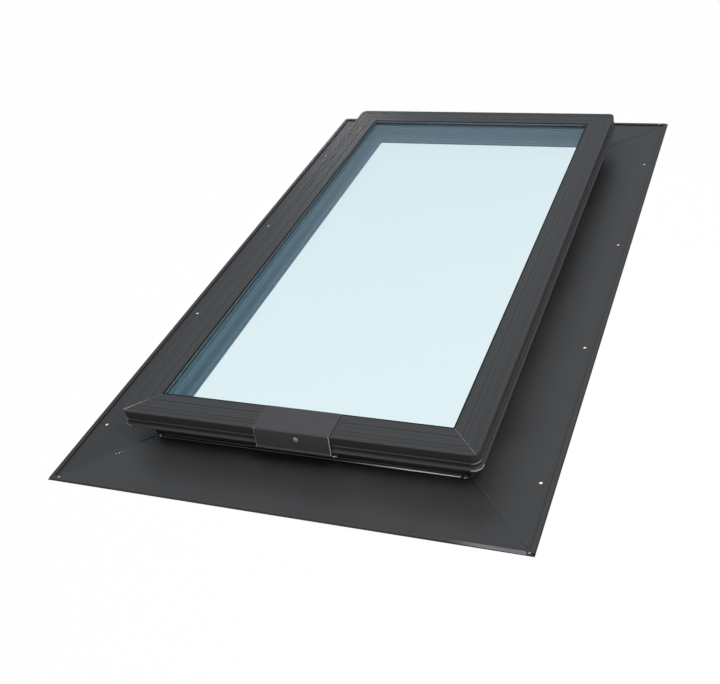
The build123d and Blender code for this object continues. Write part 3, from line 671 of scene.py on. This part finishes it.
tintBy(tree, surface, spacerSkin["colour"], metal, (0.0, 1.0), (spacerSkin["holeShade"], 1.0))
strength, depth = spacerSkin["relief"]
relief = addNode(tree, "ShaderNodeBump", {"Strength": strength, "Distance": depth}, {"Height": metal})
tree.links.new(relief.outputs[0], surface.inputs["Normal"])
finishNode(["spacer_bar"], spacerMetal)

# Tooled polysulphide: nearly black, slightly lumpy
sealantSkin = {"name": "polysulphideSealant", "colour": "#26282A", "roughness": 0.6, "grain": 0.00385,
               "detail": 3.0, "shades": (0.85, 1.2), "relief": (0.5, 0.0004)}
finishNode(["edge_seal"], grainMaterial(sealantSkin))

# Open-cell foam: dark, with pores under 1 mm
foamSkin = {"name": "openCellFoam", "colour": "#2E3031", "roughness": 0.9, "texture": "ShaderNodeTexVoronoi",
            "grain": 0.00067, "detail": 0.0, "span": (0.0, 0.6), "shades": (0.4, 1.3), "relief": (0.8, 0.0004)}
finishNode(["weep_baffles"], grainMaterial(foamSkin))

# Moulded nylon: black, with the fine grain of a spark-eroded mould
nylonSkin = {"name": "mouldedNylon", "colour": "#1E1F20", "roughness": 0.5, "grain": 0.00056,
             "detail": 2.0, "shades": (0.9, 1.12), "relief": (0.5, 0.00008)}
finishNode(["corner_keys"], grainMaterial(nylonSkin))

# Turned stainless steel: dull grey, its tool marks so fine that they read as a mottle
stainlessSkin = {"name": "turnedStainless", "colour": "#C4C6C8", "roughness": 0.4, "metallic": 1.0, "grain": 0.001429,
                 "detail": 3.0, "shades": (0.8, 1.15), "relief": (0.3, 0.00005)}
stainless = grainMaterial(stainlessSkin)
finishNode(["clip_screw"], stainless)

# Bare aluminium where the coat is gone: bright, with small facets
bareSkin = {"name": "bareAluminium", "colour": "#E4E5E6", "roughness": 0.3, "metallic": 1.0, "grain": 0.001111,
            "detail": 2.0, "shades": (0.75, 1.1), "relief": (0.5, 0.0002)}
bareMetal = grainMaterial(bareSkin)

# Zinc-plated steel: grey, with a passivated film that mottles its shade and its gloss
zincSkin = {"name": "zincPlatedSteel", "colour": "#8D9297", "roughness": 0.35, "metallic": 1.0, "film": 0.002,
            "shades": (0.75, 1.15), "roughnesses": (0.28, 0.45)}
zinc, tree, surface, place = newMaterial(zincSkin)
film = addNode(tree, "ShaderNodeTexNoise", {"Scale": 1 / zincSkin["film"], "Detail": 3.0}, {"Vector": place})
tintBy(tree, surface, zincSkin["colour"], film, noiseSpan, zincSkin["shades"])
dull = addNode(tree, "ShaderNodeMapRange",
               {"From Min": noiseSpan[0], "From Max": noiseSpan[1],
                "To Min": zincSkin["roughnesses"][0], "To Max": zincSkin["roughnesses"][1]}, {"Value": film})
tree.links.new(dull.outputs[0], surface.inputs["Roughness"])
finishNode(["frame_screws"], zinc)
print("materials ready")

sharpAngle = 0.8  # radians between two faces, past which their edge is rounded
facingDown = -0.9  # a face whose normal has a Z below this is an underside


def startPiece(name):
    # The primitive that was just added becomes a named piece in edit mode
    piece = bpy.context.object
    piece.name = name
    piece.data.name = name
    bpy.ops.object.mode_set(mode="EDIT")
    return piece


def pick(piece, kind, test):
    # Selects the verts, edges or faces that pass a test
    bpy.ops.mesh.select_mode(type=kind)
    bpy.ops.mesh.select_all(action="DESELECT")
    shape = bmesh.from_edit_mesh(piece.data)
    shape.normal_update()
    items = {"VERT": shape.verts, "EDGE": shape.edges, "FACE": shape.faces}[kind]
    for item in items:
        item.select_set(bool(test(item)))
    bmesh.update_edit_mesh(piece.data)


def makeActive(piece):
    bpy.ops.object.select_all(action="DESELECT")
    piece.select_set(True)
    bpy.context.view_layer.objects.active = piece


def closePiece(piece, material, place, turn=(0, 0, 0), angle=35):
    # Faces outwards, soft shading, its place in the mesh, and onto the body
    bpy.ops.mesh.select_all(action="SELECT")
    bpy.ops.mesh.remove_doubles(threshold=1e-6)
    bpy.ops.mesh.normals_make_consistent(inside=False)
    bpy.ops.object.mode_set(mode="OBJECT")
    piece.location = place
    piece.rotation_euler = [math.radians(a) for a in turn]
    makeActive(piece)
    bpy.ops.object.transform_apply(location=True, rotation=True, scale=True)
    bpy.ops.object.shade_smooth_by_angle(angle=math.radians(angle))
    piece.data.materials.clear()
    piece.data.materials.append(material)
    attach(piece, "root")
    piece.select_set(False)


def roundEdges(piece, above, offset, steps):
    # Rounds the sharp edges that lie above a level
    pick(piece, "EDGE", lambda e: e.calc_face_angle(0) > sharpAngle and all(v.co.z > above for v in e.verts))
    bpy.ops.mesh.bevel(offset=offset, segments=steps, affect="EDGES")


def ringPiece(name, ring, half, level, material):
    # A closed strip round a rectangle: a plane with rounded corners, inset, hollowed and pulled up
    bpy.ops.mesh.primitive_plane_add(size=2, location=(0, 0, 0))
    piece = startPiece(name)
    bpy.ops.transform.resize(value=(half[0], half[1], 1))
    bpy.ops.mesh.bevel(offset=ring["corner"], offset_type="OFFSET", segments=10, affect="VERTICES")
    bpy.ops.mesh.select_all(action="SELECT")
    bpy.ops.mesh.inset(thickness=ring["width"])
    bpy.ops.mesh.delete(type="ONLY_FACE")
    bpy.ops.mesh.select_all(action="SELECT")
    bpy.ops.mesh.extrude_region_move(TRANSFORM_OT_translate={"value": (0, 0, ring["height"])})
    roundEdges(piece, ring["height"] / 2, ring["soften"], 4)
    closePiece(piece, material, (0, 0, level))


# Foot bead: the weld that runs round the foot of the curb, seen as a bright line under the sill of the cap, where its
# material carries a painted highlight
footBead = {"gap": 0.0055, "width": 0.0034, "height": 0.0018, "corner": 0.010, "soften": 0.0014, "sink": 0.0001}
ringPiece("footBead", footBead, [face + footBead["gap"] for face in plan["curbFace"]],
          plan["sheetTop"] - footBead["sink"], weldPaint)

# Gasket lip: the soft fin of the upper gasket that shows past the edge of the cap
gasketLip = {"lap": 0.0001, "width": 0.0024, "height": 0.0036, "corner": 0.0032, "soften": 0.0003}
ringPiece("gasketLip", gasketLip, [size - plan["capRail"] + gasketLip["lap"] for size in plan["capHalf"]],
          plan["glassTop"], rubberWithPaintedLitWalls)
print("beads and lip ready")

# Weld tacks: small bare drops left on the seams, at the corners of the hem and at the foot of the curb
weldTacks = {
    "seam": [(-0.278, -0.503, 0.0014), (-0.282, -0.506, 0.0010), (-0.274, -0.500, 0.0009)],
    "hem": [(-0.3406, -0.5651, 0.0021), (0.3493, -0.5678, 0.0016), (0.3406, 0.5651, 0.0018),
            (-0.3493, 0.5678, 0.0016)],
    "foot": [(-0.2337, -0.4589, 0.0019), (0.2362, -0.4602, 0.0021)],
    "levels": {"seam": plan["sheetTop"] + 0.0006, "hem": plan["hemTop"], "foot": plan["sheetTop"] + 0.0018},
    "squash": (1.2, 1.0, 0.6),
    "cut": -0.2,
    "rough": 0.12,
    "turn": 40,
    "smooth": 60,
}
tacks = [(*spot, level) for kind, level in weldTacks["levels"].items() for spot in weldTacks[kind]]
for count, (x, y, radius, level) in enumerate(tacks, 1):
    bpy.ops.mesh.primitive_ico_sphere_add(subdivisions=3, radius=radius, location=(0, 0, 0))
    piece = startPiece(f"weldTack{count}")
    bpy.ops.transform.resize(value=weldTacks["squash"])
    bpy.ops.mesh.bisect(plane_co=(0, 0, weldTacks["cut"] * radius), plane_no=(0, 0, 1), clear_inner=True,
                        use_fill=True)
    pick(piece, "VERT", lambda v: v.co.z > 0)
    bpy.ops.transform.vertex_random(offset=radius * weldTacks["rough"], seed=count)
    closePiece(piece, bareMetal, (x, y, level), (0, 0, weldTacks["turn"] * count), weldTacks["smooth"])

# Crimp tab: the clip's lower lip ends in a small bent ear, polished by the pliers
crimpTab = {
    "reach": 0.0066,
    "width": 0.0036,
    "thick": 0.0018,
    "tipStart": 0.4,
    "tipTaper": (1, 0.55, 0.8),
    "tipLift": (0, 0.0003, 0.0007),
    "soften": 0.0004,
    "place": (0.0662, -0.4866, 0.0382),
}
bpy.ops.mesh.primitive_cube_add(size=1, location=(0, 0, 0))
piece = startPiece("crimpTab")
bpy.ops.transform.resize(value=(crimpTab["reach"], crimpTab["width"], crimpTab["thick"]))
bpy.ops.mesh.subdivide(number_cuts=2)
pick(piece, "VERT", lambda v: v.co.x > crimpTab["reach"] * crimpTab["tipStart"])
bpy.ops.transform.resize(value=crimpTab["tipTaper"])
bpy.ops.transform.translate(value=crimpTab["tipLift"])
roundEdges(piece, -crimpTab["reach"], crimpTab["soften"], 3)
closePiece(piece, bareMetal, crimpTab["place"])
print("tacks and tab ready")


def screwPiece(name, screw):
    # A round head whose underside is inset and pulled down as a thread, one ring a turn, to a blunt tip
    bpy.ops.mesh.primitive_cylinder_add(vertices=screw["sides"], radius=screw["rimRadius"],
                                        depth=screw["rimHeight"], location=(0, 0, screw["rimHeight"] / 2))
    piece = startPiece(name)
    roundEdges(piece, 0, screw["rimRound"], screw["rimSteps"])
    pick(piece, "FACE", lambda f: f.normal.z < facingDown)
    bpy.ops.mesh.inset(thickness=screw["rimRadius"] - screw["shankRadius"])
    shank, pitch = screw["shankRadius"], screw["threadPitch"]
    for turn in range(int((screw["shankLength"] - shank) / pitch)):
        for reach in (shank - screw["threadDepth"], shank):
            bpy.ops.mesh.extrude_region_move(TRANSFORM_OT_translate={"value": (0, 0, -pitch / 2)})
            shape = bmesh.from_edit_mesh(piece.data)
            now = max(math.hypot(v.co.x, v.co.y) for v in shape.verts if v.select)
            bpy.ops.transform.resize(value=(reach / now, reach / now, 1))
    bpy.ops.mesh.extrude_region_move(TRANSFORM_OT_translate={"value": (0, 0, -shank)})
    bpy.ops.transform.resize(value=(screw["tipShare"], screw["tipShare"], 1))
    bpy.ops.object.mode_set(mode="OBJECT")
    return piece


# Clip screw: pan head with a cross recess on a threaded shank
clipScrew = {
    "seat": (0.011, -0.48377, 0.05668),
    "lean": 83.28,
    "sides": 40,
    "rimRadius": 0.004,
    "rimHeight": 0.0026,
    "rimRound": 0.0012,
    "rimSteps": 5,
    "shankRadius": 0.00175,
    "shankLength": 0.0096,
    "threadPitch": 0.0008,
    "threadDepth": 0.0003,
    "tipShare": 0.25,
    "slotLength": 0.0046,
    "slotWidth": 0.0009,
    "slotDepth": 0.0014,
    "slotTaper": (0.45, 0.6, 1),
    "slotTurns": (35, 125),
}
panScrew = screwPiece("clipScrew", clipScrew)
# The recess is cut by two crossed wedges that narrow downwards
for turn in clipScrew["slotTurns"]:
    bpy.ops.mesh.primitive_cube_add(size=1, location=(0, 0, clipScrew["rimHeight"]))
    cutter = startPiece("recessCutter")
    bpy.ops.transform.resize(value=(clipScrew["slotLength"], clipScrew["slotWidth"], 2 * clipScrew["slotDepth"]))
    pick(cutter, "FACE", lambda f: f.normal.z < facingDown)
    bpy.ops.transform.resize(value=clipScrew["slotTaper"])
    bpy.ops.object.mode_set(mode="OBJECT")
    cutter.rotation_euler[2] = math.radians(turn)
    cut = panScrew.modifiers.new("recess", "BOOLEAN")
    cut.object = cutter
    cut.operation = "DIFFERENCE"
    cut.solver = "EXACT"
    makeActive(panScrew)
    bpy.ops.object.modifier_apply(modifier=cut.name)
    bpy.data.objects.remove(cutter)
bpy.ops.object.mode_set(mode="EDIT")
closePiece(panScrew, stainless, clipScrew["seat"], (clipScrew["lean"], 0, 0))
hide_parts("clip_screw")

# Frame screws: hexagon heads on a pressed washer, one modelled and nine copied
frameScrew = {
    "sides": 36,
    "rimRadius": 0.004,
    "rimHeight": 0.0007,
    "rimRound": 0.00028,
    "rimSteps": 2,
    "hexRadius": 0.0032,
    "hexHeight": 0.0026,
    "hexRound": 0.0003,
    "shankRadius": 0.00175,
    "shankLength": 0.009,
    "threadPitch": 0.0011,
    "threadDepth": 0.00035,
    "tipShare": 0.2,
    "level": 0.024,
    "longSides": (-0.330, 0.0, 0.330),
    "shortSides": (-0.110, 0.110),
}
washerScrew = screwPiece("frameScrew1", frameScrew)
bpy.ops.mesh.primitive_cylinder_add(vertices=6, radius=frameScrew["hexRadius"], depth=frameScrew["hexHeight"],
                                    location=(0, 0, frameScrew["hexHeight"] / 2))
head = startPiece("hexHead")
roundEdges(head, 0, frameScrew["hexRound"], 2)
bpy.ops.object.mode_set(mode="OBJECT")
makeActive(washerScrew)
head.select_set(True)
bpy.ops.object.join()
faceX, faceY = plan["curbFace"]
seats = [((side * faceX, y, frameScrew["level"]), (0, 90 * side, 0))
         for side in (1, -1) for y in frameScrew["longSides"]]
seats += [((x, side * faceY, frameScrew["level"]), (-90 * side, 0, 0))
          for side in (1, -1) for x in frameScrew["shortSides"]]
screws = [washerScrew]
for number in range(2, len(seats) + 1):
    copy = washerScrew.copy()
    copy.data = washerScrew.data.copy()
    copy.name = copy.data.name = f"frameScrew{number}"
    bpy.context.collection.objects.link(copy)
    screws.append(copy)
for screw, (spot, turn) in zip(screws, seats):
    makeActive(screw)
    bpy.ops.object.mode_set(mode="EDIT")
    closePiece(screw, zinc, spot, turn)
    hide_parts("frame_screws")
print("screws ready")
